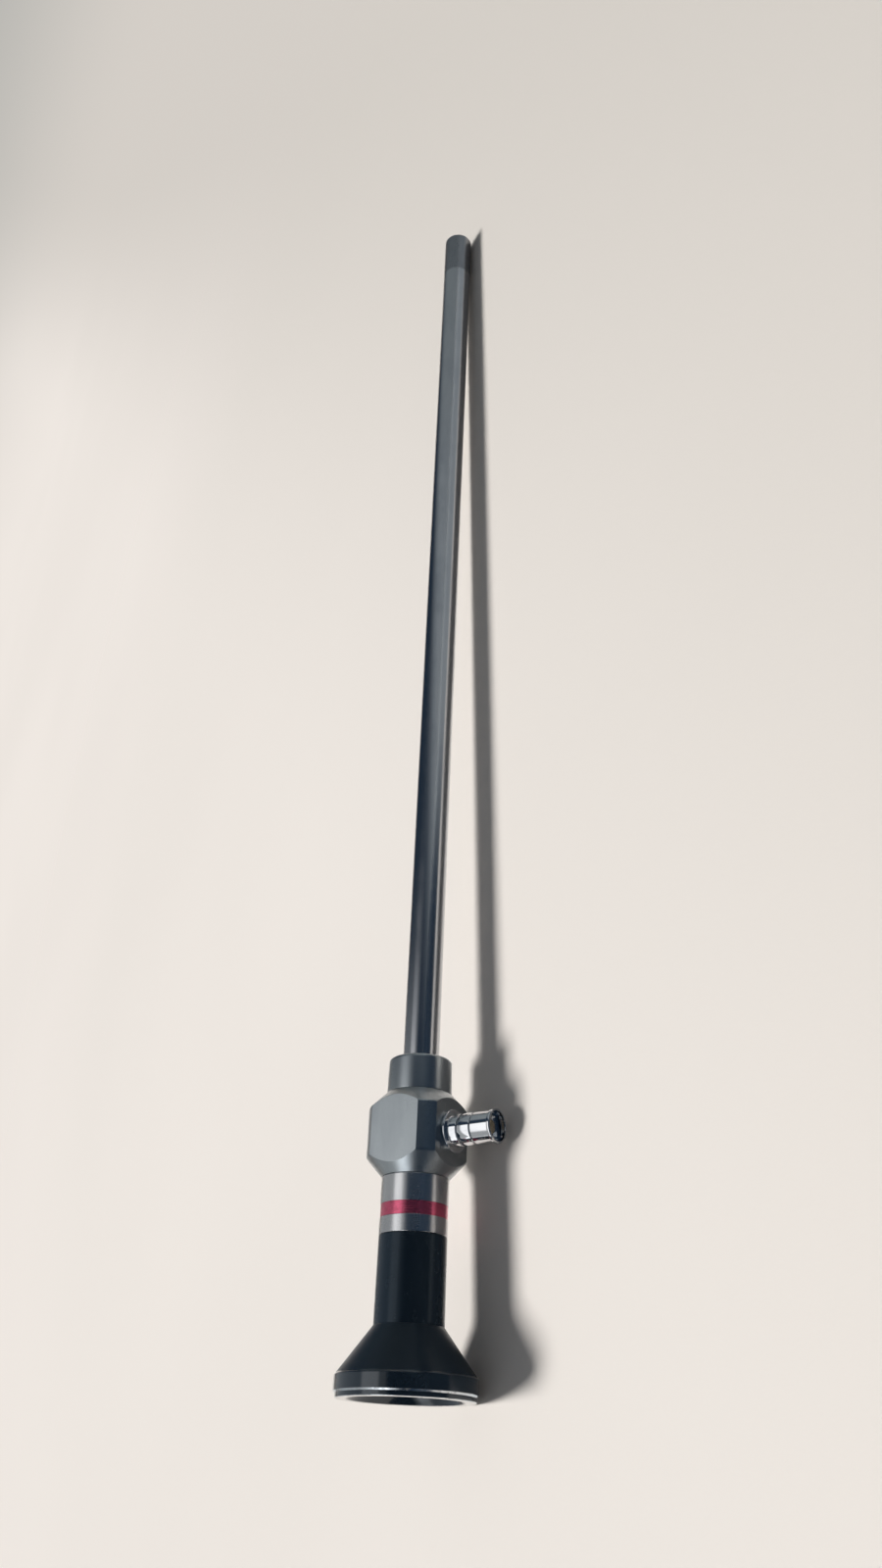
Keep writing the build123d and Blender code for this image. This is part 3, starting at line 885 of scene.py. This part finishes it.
@dataclass
class Body(SubAssembly):
    """Turned body with two cones, four milled flats and a drilled hole for the post."""

    land_radius: float = 13.5
    flat_distance: float = 11.2
    rear_radius: float = 9.075
    front_radius: float = 8.9
    neck_end: float = 54.3
    land_start: float = 59.2
    land_end: float = 72.3
    front: float = 76.9
    rear_spigot: tuple[float, float] = (7.405, 46.0)
    front_spigot: tuple[float, float] = (7.4, 83.0)
    seal_groove: tuple[float, float, float] = (6.605, 50.5, 51.4)
    field_bore: tuple[float, float] = (4.6, 55.5)
    tube_hole: tuple[float, float] = (3.55, 59.8)
    chamber: tuple[float, float] = (8.9, 71.8)
    fibre_bore: tuple[float, float] = (4.7, 73.0)
    shaft_socket: float = 4.85
    post_hole: float = 3.35
    drill_reach: tuple[float, float] = (4.0, 14.0)
    flat_edge: float = 0.18
    land_edge: float = 0.35

    def build(self) -> None:
        """Turn, mill and drill the body."""
        axes = self.lie.optical
        mesh = self.lathe.turned(self._outline())
        self._mill_flats(mesh)
        body = self.lathe.place(mesh, "body", axes)
        self._drill_post_hole(body)
        self.lathe.shade(body)
        self.register(body, Slot.BLASTED_STEEL, "body_housing", axes)

    def _outline(self) -> list[Corner]:
        """Outside from the rear spigot to the front one, then the bores back again."""
        rear_r, rear_end = self.rear_spigot
        front_r, front_end = self.front_spigot
        groove_r, groove_start, groove_end = self.seal_groove
        return [
            Corner(self.field_bore[0], rear_end),
            Corner(rear_r, rear_end, 0.2),
            Corner(rear_r, groove_start),
            Corner(groove_r, groove_start),
            Corner(groove_r, groove_end),
            Corner(rear_r, groove_end),
            Corner(rear_r, self.neck_end),
            Corner(self.rear_radius, self.neck_end, 0.12),
            Corner(self.land_radius, self.land_start, self.land_edge, 2),
            Corner(self.land_radius, self.land_end, self.land_edge, 2),
            Corner(self.front_radius, self.front, 0.12),
            Corner(front_r, self.front),
            Corner(front_r, front_end, 0.2),
            Corner(self.shaft_socket, front_end),
            Corner(self.shaft_socket, self.fibre_bore[1]),
            Corner(self.fibre_bore[0], self.fibre_bore[1]),
            Corner(self.fibre_bore[0], self.chamber[1]),
            Corner(self.chamber[0], self.chamber[1]),
            Corner(self.chamber[0], self.tube_hole[1]),
            Corner(self.tube_hole[0], self.tube_hole[1]),
            Corner(self.tube_hole[0], self.field_bore[1]),
            Corner(self.field_bore[0], self.field_bore[1]),
        ]

    def _mill_flats(self, mesh: bmesh.types.BMesh) -> None:
        """Cut four flats, close them and break their edges.

        Args:
            mesh: The turned blank, in lathe millimetres.
        """
        flats = []
        for quarter in range(4):
            outwards = Vector((cos(quarter * pi / 2), sin(quarter * pi / 2), 0))
            cut = bmesh.ops.bisect_plane(
                mesh,
                geom=mesh.verts[:] + mesh.edges[:] + mesh.faces[:],
                dist=self.lathe.join,
                plane_co=outwards * self.flat_distance,
                plane_no=outwards,
                clear_outer=True,
            )
            border = [part for part in cut["geom_cut"] if isinstance(part, bmesh.types.BMEdge)]
            flats += bmesh.ops.edgeloop_fill(mesh, edges=border)["faces"]
        bmesh.ops.recalc_face_normals(mesh, faces=mesh.faces[:])
        edges = list({edge for flat in flats for edge in flat.edges})
        bmesh.ops.bevel(
            mesh,
            geom=edges,
            offset=self.flat_edge,
            offset_type="OFFSET",
            segments=2,
            profile=0.5,
            affect="EDGES",
            material=-1,
            clamp_overlap=True,
        )

    def _drill_post_hole(self, body: bpy.types.Object) -> None:
        """Drill the hole for the post's spigot through one flat.

        Args:
            body: The milled body, already in its place.
        """
        drill_mesh = self.lathe.turned(disc(self.post_hole, *self.drill_reach, 0.0))
        drill = self.lathe.place(drill_mesh, "drill", self.lie.post)
        hole = body.modifiers.new("post_hole", "BOOLEAN")
        hole.operation = "DIFFERENCE"
        hole.solver = "EXACT"
        hole.object = drill
        depsgraph = bpy.context.evaluated_depsgraph_get()
        drilled = bpy.data.meshes.new_from_object(body.evaluated_get(depsgraph))
        body.modifiers.clear()
        body.data = drilled
        bpy.data.objects.remove(drill)


@dataclass
class Collar(SubAssembly):
    """Short steel collar screwed over the front spigot of the body."""

    start: float = 76.9
    end: float = 86.5
    rear_radius: float = 8.9
    front_radius: float = 8.7
    bore: float = 7.45
    gasket_end: float = 83.6
    shaft_hole: float = 4.85
    rear_edge: float = 0.25
    front_edge: float = 0.9

    def build(self) -> None:
        """Turn the collar."""
        corners = [
            Corner(self.bore, self.start),
            Corner(self.rear_radius, self.start, self.rear_edge, 2),
            Corner(self.front_radius, self.end, self.front_edge, 6),
            Corner(self.shaft_hole, self.end, 0.1, 2),
            Corner(self.shaft_hole, self.gasket_end),
            Corner(self.bore, self.gasket_end),
        ]
        self.make("collar", "front_collar", Slot.BLASTED_STEEL, corners)


@dataclass
class Neck(SubAssembly):
    """Bright steel sleeve behind the body, with the coloured ring let into it."""

    start: float = 39.3
    end: float = 54.3
    radius: float = 9.075
    bore: float = 7.455
    groove_radius: float = 8.625
    ring_start: float = 43.7
    ring_end: float = 47.1
    ring_radius: float = 8.955
    edge: float = 0.3
    groove_edge: float = 0.12
    ring_edge: float = 0.05

    def build(self) -> None:
        """Turn the sleeve and the ring."""
        corners = [
            Corner(self.bore, self.start),
            Corner(self.radius, self.start, self.edge),
            Corner(self.radius, self.ring_start, self.groove_edge, 2),
            Corner(self.groove_radius, self.ring_start),
            Corner(self.groove_radius, self.ring_end),
            Corner(self.radius, self.ring_end, self.groove_edge, 2),
            Corner(self.radius, self.end, self.edge),
            Corner(self.bore, self.end),
        ]
        self.make("neck", "neck_sleeve", Slot.POLISHED_STEEL, corners)
        width = (self.ring_start, self.ring_end)
        corners = sleeve(self.groove_radius, self.ring_radius, *width, self.ring_edge)
        self.make("red_band", "colour_ring", Slot.RED_RING, corners)


@dataclass
class Eyepiece(SubAssembly):
    """Black tube and banded eyecup, with the window in the floor of the eyecup's dish."""

    rim_radius: float = 18.3
    lip_radius: float = 17.8
    lip_end: float = 1.2
    band_start: float = 1.7
    band_end: float = 5.3
    funnel_start: float = 5.6
    tube_start: float = 17.3
    tube_end: float = 39.3
    tube_rear_radius: float = 9.145
    tube_front_radius: float = 9.025
    dish_mouth: float = 15.0
    dish_floor: float = 8.0
    dish_depth: float = 6.4
    dish_bend: tuple[float, float] = (12.567, 4.366)
    dish_ease: float = 4.62
    window_radius: float = 6.8
    window_hole: float = 5.5
    window_gap: float = 0.05
    retainer_width: float = 1.2
    glass_start: float = 7.4
    glass_end: float = 9.0
    glass_seat: float = 9.4
    nose_radius: float = 7.895
    nose_end: float = 22.8
    seat: tuple[float, float] = (7.945, 22.85)
    spigot: tuple[float, float] = (7.405, 44.9)
    stop_hole: tuple[float, float] = (5.625, 44.0)
    tube_bore: float = 6.925

    def build(self) -> None:
        """Make the eyecup, the window parts and the tube."""
        self._eyecup()
        self._window()
        self._tube()

    def _eyecup(self) -> None:
        """Turn the funnel with its banded rim and round dish."""
        seat_radius = self.window_radius + self.window_gap
        corners = [
            Corner(self.lip_radius, 0.0, 0.3, 4),
            Corner(self.lip_radius, self.lip_end, 0.08, 2),
            Corner(self.rim_radius, self.band_start, 0.14, 3),
            Corner(self.rim_radius, self.band_end, 0.16, 3),
            Corner(self.rim_radius - 0.3, self.funnel_start, 0.12, 3),
            Corner(self.tube_rear_radius, self.tube_start, 0.06, 2),
            Corner(self.nose_radius, self.tube_start),
            Corner(self.nose_radius, self.nose_end),
            Corner(self.window_hole, self.nose_end),
            Corner(self.window_hole, self.glass_seat),
            Corner(seat_radius, self.glass_seat),
            Corner(seat_radius, self.dish_depth, 0.08, 2),
            Corner(self.dish_floor, self.dish_depth),
            Corner(*self.dish_bend, self.dish_ease, 20),
            Corner(self.dish_mouth, 0.0, 0.3, 4),
        ]
        self.make("eyecup_shell", "eyecup", Slot.BLACK_GLOSS, corners)

    def _window(self) -> None:
        """Turn the cover glass and its retainer."""
        corners = disc(self.window_radius, self.glass_start, self.glass_end, 0.08)
        self.make("window_glass", "cover_glass", Slot.OPTICAL_GLASS, corners)
        inner_radius = self.window_radius - self.retainer_width
        corners = [
            Corner(self.window_radius, self.dish_depth, 0.08, 2),
            Corner(self.window_radius, self.glass_start),
            Corner(inner_radius, self.glass_start),
            Corner(inner_radius, self.dish_depth, 0.4, 2),
        ]
        self.make("window_retainer", "cover_retainer", Slot.BLACK_ALLOY, corners)

    def _tube(self) -> None:
        """Turn the black tube with its spigot and bores."""
        seat_radius, seat_end = self.seat
        spigot_radius, spigot_end = self.spigot
        stop_radius, stop_start = self.stop_hole
        corners = [
            Corner(seat_radius, self.tube_start),
            Corner(self.tube_rear_radius, self.tube_start, 0.05, 2),
            Corner(self.tube_front_radius, self.tube_end, 0.25, 3),
            Corner(spigot_radius, self.tube_end),
            Corner(spigot_radius, spigot_end),
            Corner(stop_radius, spigot_end),
            Corner(stop_radius, stop_start),
            Corner(self.tube_bore, stop_start),
            Corner(self.tube_bore, seat_end),
            Corner(seat_radius, seat_end),
        ]
        self.make("black_barrel", "eyepiece_tube", Slot.BLACK_TUBE, corners)


@dataclass
class LightPost(SubAssembly):
    """Chromed post with two sleeves, an open socket and the end of the fibre bundle."""

    flat: float = 11.2
    flange_radius: float = 5.7
    flange_end: float = 12.5
    radius: float = 4.25
    foot_end: float = 15.1
    nose_radius: float = 3.3
    nose_end: float = 22.6
    spigot_start: float = 5.3
    ferrule_radius: float = 2.35
    first_sleeve: tuple[float, float] = (15.2, 19.2)
    end_sleeve_start: float = 19.3
    lip_radius: float = 4.6
    lip_start: float = 24.8
    end: float = 25.7
    socket_radius: float = 3.95
    socket_floor: float = 22.7
    ferrule: tuple[float, float] = (13.7, 23.7)
    bundle_hole: float = 1.8
    gap: float = 0.05
    edge: float = 0.3
    ferrule_edge: float = 0.15

    def build(self) -> None:
        """Turn the post, its sleeves and the ferrule."""
        axes = self.lie.post
        bore = self.nose_radius + self.gap
        first = sleeve(bore, self.radius, *self.first_sleeve, self.edge)
        ferrule = sleeve(self.bundle_hole, self.ferrule_radius, *self.ferrule, self.ferrule_edge)
        turned = {
            "post": ("light_post", self._post()),
            "post_sleeve": ("first_adapter", first),
            "post_end_sleeve": ("end_adapter", self._end_sleeve(bore)),
            "fibre_collar": ("fibre_ferrule", ferrule),
        }
        for name, (node, corners) in turned.items():
            piece = self.lathe.piece(name, corners, axes)
            self.register(piece, Slot.CHROMED_POST, node, axes)

    def _post(self) -> list[Corner]:
        """Outline of the spigot, flange, foot and nose."""
        bore = self.ferrule_radius + self.gap
        return [
            Corner(bore, self.spigot_start),
            Corner(self.nose_radius, self.spigot_start),
            Corner(self.nose_radius, self.flat),
            Corner(self.flange_radius, self.flat, 0.1, 2),
            Corner(self.flange_radius, self.flange_end, self.edge),
            Corner(self.radius, self.flange_end, 0.2, 3),
            Corner(self.radius, self.foot_end, self.edge),
            Corner(self.nose_radius, self.foot_end),
            Corner(self.nose_radius, self.nose_end),
            Corner(bore, self.nose_end),
        ]

    def _end_sleeve(self, bore: float) -> list[Corner]:
        """Outline of the end sleeve with its flared lip and socket.

        Args:
            bore: Radius of the hole that fits the post's nose.

        Returns:
            The corners.
        """
        return [
            Corner(bore, self.end_sleeve_start),
            Corner(self.radius, self.end_sleeve_start, self.edge),
            Corner(self.radius, self.lip_start, 0.12, 3),
            Corner(self.lip_radius, self.lip_start, 0.08, 2),
            Corner(self.lip_radius, self.end, self.edge, 4),
            Corner(self.socket_radius, self.end, 0.1, 2),
            Corner(self.socket_radius, self.socket_floor),
            Corner(bore, self.socket_floor),
        ]


@dataclass
class InnerParts:
    """CAD nodes that stay as they are, and only get their finishes."""

    lie: Lie
    paint: PaintShop

    def dress(self) -> None:
        """Give every CAD node the finish of its own slot."""
        axes = self.lie.optical
        for name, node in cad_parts.items():
            slot = Slot(node.data.materials[0].name.split(".")[0])
            self.paint.coat(node, SLOT_FINISH[slot], axes)
            log.info("%s: dressed as %s", name, slot.value)


# Studio


@dataclass(frozen=True)
class Room:
    """What polished metal sees round it: a window, a light wall and a dark side.

    Directions are given as a lean, in degrees from straight up towards the right side, and as a
    forward share, the part of the direction that points along the instrument. A range has the
    values where something starts and where it is whole, or its two ends and the width of both.

    Args:
        dark: Colour of the dark side.
        wall: Colour of the light wall.
        front: Colour in front of the tip.
        far_front: Colour straight ahead.
        window: Colour of the window.
        back_window: Colour of the one behind the eyecup.
        dark_end: Forward share where the dark side ends, straight up.
        dark_slant: How much that falls with each degree of lean.
        dark_edge: Half the width of its soft end.
        front_range: Forward shares where the colour straight ahead takes over.
        wall_lean: Leans of the wall's edge.
        wall_ahead: Forward shares of the wall's end.
        window_lean: Leans of the window.
        window_ahead: Forward shares of the window.
        back_lean: Leans of the back window's edge.
        back_ahead: Forward shares of its end.
    """

    dark: Colour = (0.020, 0.036, 0.060)
    wall: Colour = (0.40, 0.415, 0.42)
    front: Colour = (0.33, 0.36, 0.38)
    far_front: Colour = (0.23, 0.26, 0.27)
    window: Colour = (1.30, 1.30, 1.30)
    back_window: Colour = (1.9, 1.95, 2.0)
    dark_end: float = 0.59
    dark_slant: float = 0.0028
    dark_edge: float = 0.09
    front_range: tuple[float, float] = (0.62, 0.76)
    wall_lean: tuple[float, float] = (37, 29)
    wall_ahead: tuple[float, float] = (0.38, 0.22)
    window_lean: tuple[float, float, float] = (-7, 18, 5)
    window_ahead: tuple[float, float, float] = (-0.82, 0.25, 0.07)
    back_lean: tuple[float, float] = (30, 10)
    back_ahead: tuple[float, float] = (-0.80, -0.90)

    def seen(self, book: NodeBook, lie: Lie) -> Signal:
        """Colour by direction.

        Args:
            book: Node book of the world.
            lie: How the instrument lies.

        Returns:
            The colour signal.
        """
        direction = book.add("ShaderNodeTexCoord", None, None, "Generated")
        lean = book.along(direction, (1, 0, 0)).angle(book.along(direction, lie.upward))
        ahead = book.along(direction, lie.forward)
        dark_end = self.dark_end - lean * self.dark_slant
        past_dark = (ahead - dark_end).rise(-self.dark_edge, self.dark_edge)
        front = book.blend(ahead.rise(*self.front_range), self.front, self.far_front)
        colour = book.blend(past_dark, self.dark, front)
        beside = lean.rise(*self.wall_lean) * ahead.rise(*self.wall_ahead)
        colour = book.blend(beside, colour, self.wall)
        window = lean.between(*self.window_lean) * ahead.between(*self.window_ahead)
        colour = book.blend(window, colour, self.window)
        behind = lean.rise(*self.back_lean) * ahead.rise(*self.back_ahead)
        return book.blend(behind, colour, self.back_window)


@dataclass
class Studio:
    """Plain pale floor that curves up far away, a soft lamp, and even surroundings.

    Args:
        lie: How the instrument lies.
        room: What metal sees round it.
        floor_colour: Colour of the floor near the instrument.
        far_colour: Colour of its part farther forward and to the right, painted darker as shade.
        edge_colour: Colour of its raised edge, painted darker as shade.
        floor_reach: Radius of the floor, in metres.
        wall_height: Height of the curved-up edge, in metres.
        far_range: Right plus forward distances between which the far colour takes over.
        strip_range: Distances to the right where metal starts to see the painted dark floor.
        near_range: Forward distances between which that painted reflection turns from grey to dark.
        even_range: Squared distances between which the camera sees an even level.
        edge_range: Heights between which the edge colour takes over.
        lamp_angle: Direction of the lamp round the optical axis, above the right side.
        lamp_back: How far the lamp stands behind, in degrees.
        lamp_width: Angle that the lamp fills, in degrees.
        lamp_share: Share of the light that comes from the lamp.
        haze: Light from all sides.
        haze_colour: Colour of that light.
    """

    lie: Lie
    room: Room = Room()
    floor_colour: Colour = (0.865, 0.810, 0.760)
    far_colour: Colour = (0.66, 0.62, 0.575)
    edge_colour: Colour = (0.46, 0.455, 0.43)
    floor_reach: float = 2.2
    wall_height: float = 0.5
    far_range: tuple[float, float] = (-0.16, 0.36)
    strip_range: tuple[float, float] = (0.014, 0.022)
    near_range: tuple[float, float] = (0.01, -0.09)
    even_range: tuple[float, float] = (0.10, 0.60)
    edge_range: tuple[float, float] = (0.0, 0.30)
    lamp_angle: float = 126.0
    lamp_back: float = 8.0
    lamp_width: float = 17.0
    lamp_share: float = 0.87
    haze: float = 0.15
    haze_colour: Colour = (0.88, 0.96, 1.06)

    def build(self) -> None:
        """Make the floor, the lamp and the surroundings."""
        self._floor()
        self._lamp()
        self._surroundings()

    def _floor(self) -> None:
        """Spin a flat outline that curves up at its far edge."""
        reach, height = self.floor_reach / MM, self.wall_height / MM
        corners = [
            Corner(0, 0),
            Corner(reach, 0, 0.9 * height, 16),
            Corner(reach, height),
            Corner(0, height),
        ]
        lathe = Lathe(steps=96)
        mesh = lathe.turned(corners)
        lids = [face for face in mesh.faces if face.calc_center_median().z > 0.99 * height]
        bmesh.ops.delete(mesh, geom=lids, context="FACES")
        axes = Axes(Vector((0, 0, 0)), Vector((0, 0, 1)), Vector((1, 0, 0)))
        floor = lathe.place(mesh, "floor", axes)
        for face in floor.data.polygons:
            face.use_smooth = True
        floor.data.materials.append(self._floor_material())
        log.info("floor: %d faces", len(floor.data.polygons))

    def _floor_material(self) -> bpy.types.Material:
        """Plain pale sheet seen at an even level far off, with painted shade and a painted dark
        reflection.
        """
        material = bpy.data.materials.new("pale_floor")
        material.use_nodes = True
        book = NodeBook(material.node_tree)
        place = book.add("ShaderNodeTexCoord", None, None, "Object")
        units = ((1, 0, 0), (0, 1, 0), (0, 0, 1))
        right, ahead, high = (book.along(place, unit) for unit in units)
        tone = book.noise(place, 2.5, 2.0).rise(0.3, 0.7)
        # Painted shade: the sheet is darker farther forward and to the right.
        farther = book.along(place, (1, 1, 0)).rise(*self.far_range)
        pale = book.blend(farther, self.floor_colour, self.far_colour)
        pale = book.blend(tone * 0.12, pale, self.far_colour)
        # Painted dark reflection: for glossy rays only, the floor to the right of the instrument is
        # painted grey, and dark towards the eyecup, so metal shows a dark stripe there.
        beside = book.along(place, (1, 0.055, 0)).rise(*self.strip_range)
        near_dark = book.along(place, (-0.47, 1, 0)).rise(*self.near_range)
        painted_dark_reflection = book.blend(near_dark, self.room.front, self.room.dark)
        glossy = book.add("ShaderNodeLightPath", None, None, "Is Glossy Ray")
        tooth = book.noise(place, 900.0, 2.0)
        inputs = {"Strength": 0.3, "Distance": 0.0001, "Height": tooth}
        bump = book.add("ShaderNodeBump", None, inputs)
        inputs = {
            "Base Color": book.blend(glossy * beside, pale, painted_dark_reflection),
            "Roughness": 0.8,
            "Specular IOR Level": 0.2,
            "Normal": bump,
        }
        sheet = book.add("ShaderNodeBsdfPrincipled", None, inputs)
        distance = right * right + ahead * ahead
        # Painted shade: the camera's even level darkens up the raised edge.
        level = book.blend(high.rise(*self.edge_range), pale, self.edge_colour)
        even = book.add("ShaderNodeEmission", None, {"Color": level, "Strength": 1.0})
        seen = book.add("ShaderNodeLightPath", None, None, "Is Camera Ray")
        far = seen * distance.rise(*self.even_range)
        surface = book.add("ShaderNodeMixShader", None, {0: far, 1: sheet, 2: even})
        book.add("ShaderNodeOutputMaterial", None, {"Surface": surface})
        return material

    def _lamp(self) -> None:
        """Soft lamp on the left; metal sees the room's window in its place."""
        lamp = bpy.data.lights.new("soft_lamp", "SUN")
        lamp.angle = radians(self.lamp_width)
        lamp.color = (1.0, 0.99, 0.97)
        back = radians(self.lamp_back)
        away = self.lie.around(self.lamp_angle) * cos(back) - self.lie.forward * sin(back)
        lamp.energy = self.lamp_share * pi / away.z
        holder = bpy.data.objects.new("soft_lamp", lamp)
        holder.location = away
        holder.rotation_mode = "QUATERNION"
        holder.rotation_quaternion = away.to_track_quat("Z", "Y")
        holder.visible_glossy = False
        bpy.context.scene.collection.objects.link(holder)
        log.info("soft_lamp: strength %.2f", lamp.energy)

    def _surroundings(self) -> None:
        """World: even haze for light, the room for metal, and the floor's colour for the view."""
        world = bpy.data.worlds.new("room")
        world.use_nodes = True
        bpy.context.scene.world = world
        book = NodeBook(world.node_tree)
        glossy = book.add("ShaderNodeLightPath", None, None, "Is Glossy Ray")
        seen = book.add("ShaderNodeLightPath", None, None, "Is Camera Ray")
        even = tuple(self.haze * part for part in self.haze_colour)
        colour = book.blend(glossy, even, self.room.seen(book, self.lie))
        # Painted shade: the camera sees the world in the raised edge's darker colour.
        colour = book.blend(seen, colour, self.edge_colour)
        background = book.add("ShaderNodeBackground", None, {"Color": colour, "Strength": 1.0})
        book.add("ShaderNodeOutputWorld", None, {"Surface": background})
        bpy.context.scene.view_settings.view_transform = "Standard"


@dataclass
class ViewCamera:
    """Camera at the photograph's viewing angle.

    Args:
        lie: How the instrument lies.
        side_angle: Direction of the picture's right round the optical axis.
        place: Right, forward and towards distances from the eyecup's rear centre.
        looking: Viewing direction in the same three directions.
        right: The picture's right in the same three directions.
        lens: Focal length, in millimetres.
        sensor: Sensor's long side, in millimetres.
    """

    lie: Lie
    side_angle: float = -62.9086
    place: Colour = (9.73, -23.5, 368.22)
    looking: Colour = (-0.01789, 0.47364, -0.88054)
    right: Colour = (0.99929, 0.03775, 0.0)
    lens: float = 30.978
    sensor: float = 36.0

    def _to_row(self, parts: Colour) -> Vector:
        """Turn right, forward and towards parts into a row vector."""
        right = self.lie.around(self.side_angle)
        towards = self.lie.around(self.side_angle + 90)
        return right * parts[0] + self.lie.forward * parts[1] + towards * parts[2]

    def build(self) -> None:
        """Make the camera and choose it."""
        data = bpy.data.cameras.new("view_camera")
        data.sensor_width = self.sensor
        data.lens = self.lens
        data.clip_start, data.clip_end = 0.01, 50.0
        camera = bpy.data.objects.new("view_camera", data)
        back = -self._to_row(self.looking).normalized()
        right = self._to_row(self.right).normalized()
        up = back.cross(right).normalized()
        turn = Matrix((up.cross(back), up, back)).transposed()
        camera.location = self.lie.point(0) + self._to_row(self.place) * MM
        camera.rotation_mode = "QUATERNION"
        camera.rotation_quaternion = turn.to_quaternion()
        bpy.context.scene.collection.objects.link(camera)
        bpy.context.scene.camera = camera
        log.info("view_camera: lens %.2f mm", self.lens)


def clear_startup() -> None:
    """Remove the objects that Blender itself starts with."""
    for name in ("Cube", "Light", "Camera"):
        if name in bpy.data.objects:
            bpy.data.objects.remove(bpy.data.objects[name])


def main() -> None:
    """Build the instrument, its finishes and the studio, in order."""
    logging.basicConfig(level=logging.INFO, format="%(name)s %(message)s")
    clear_startup()
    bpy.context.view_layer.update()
    lie = Lie()
    paint = PaintShop()
    ViewCamera(lie).build()
    Studio(lie).build()
    InnerParts(lie, paint).dress()
    for kind in (Shaft, Collar, Body, Neck, Eyepiece, LightPost):
        kind(lie, paint).build()


if __name__ == "__main__":
    main()
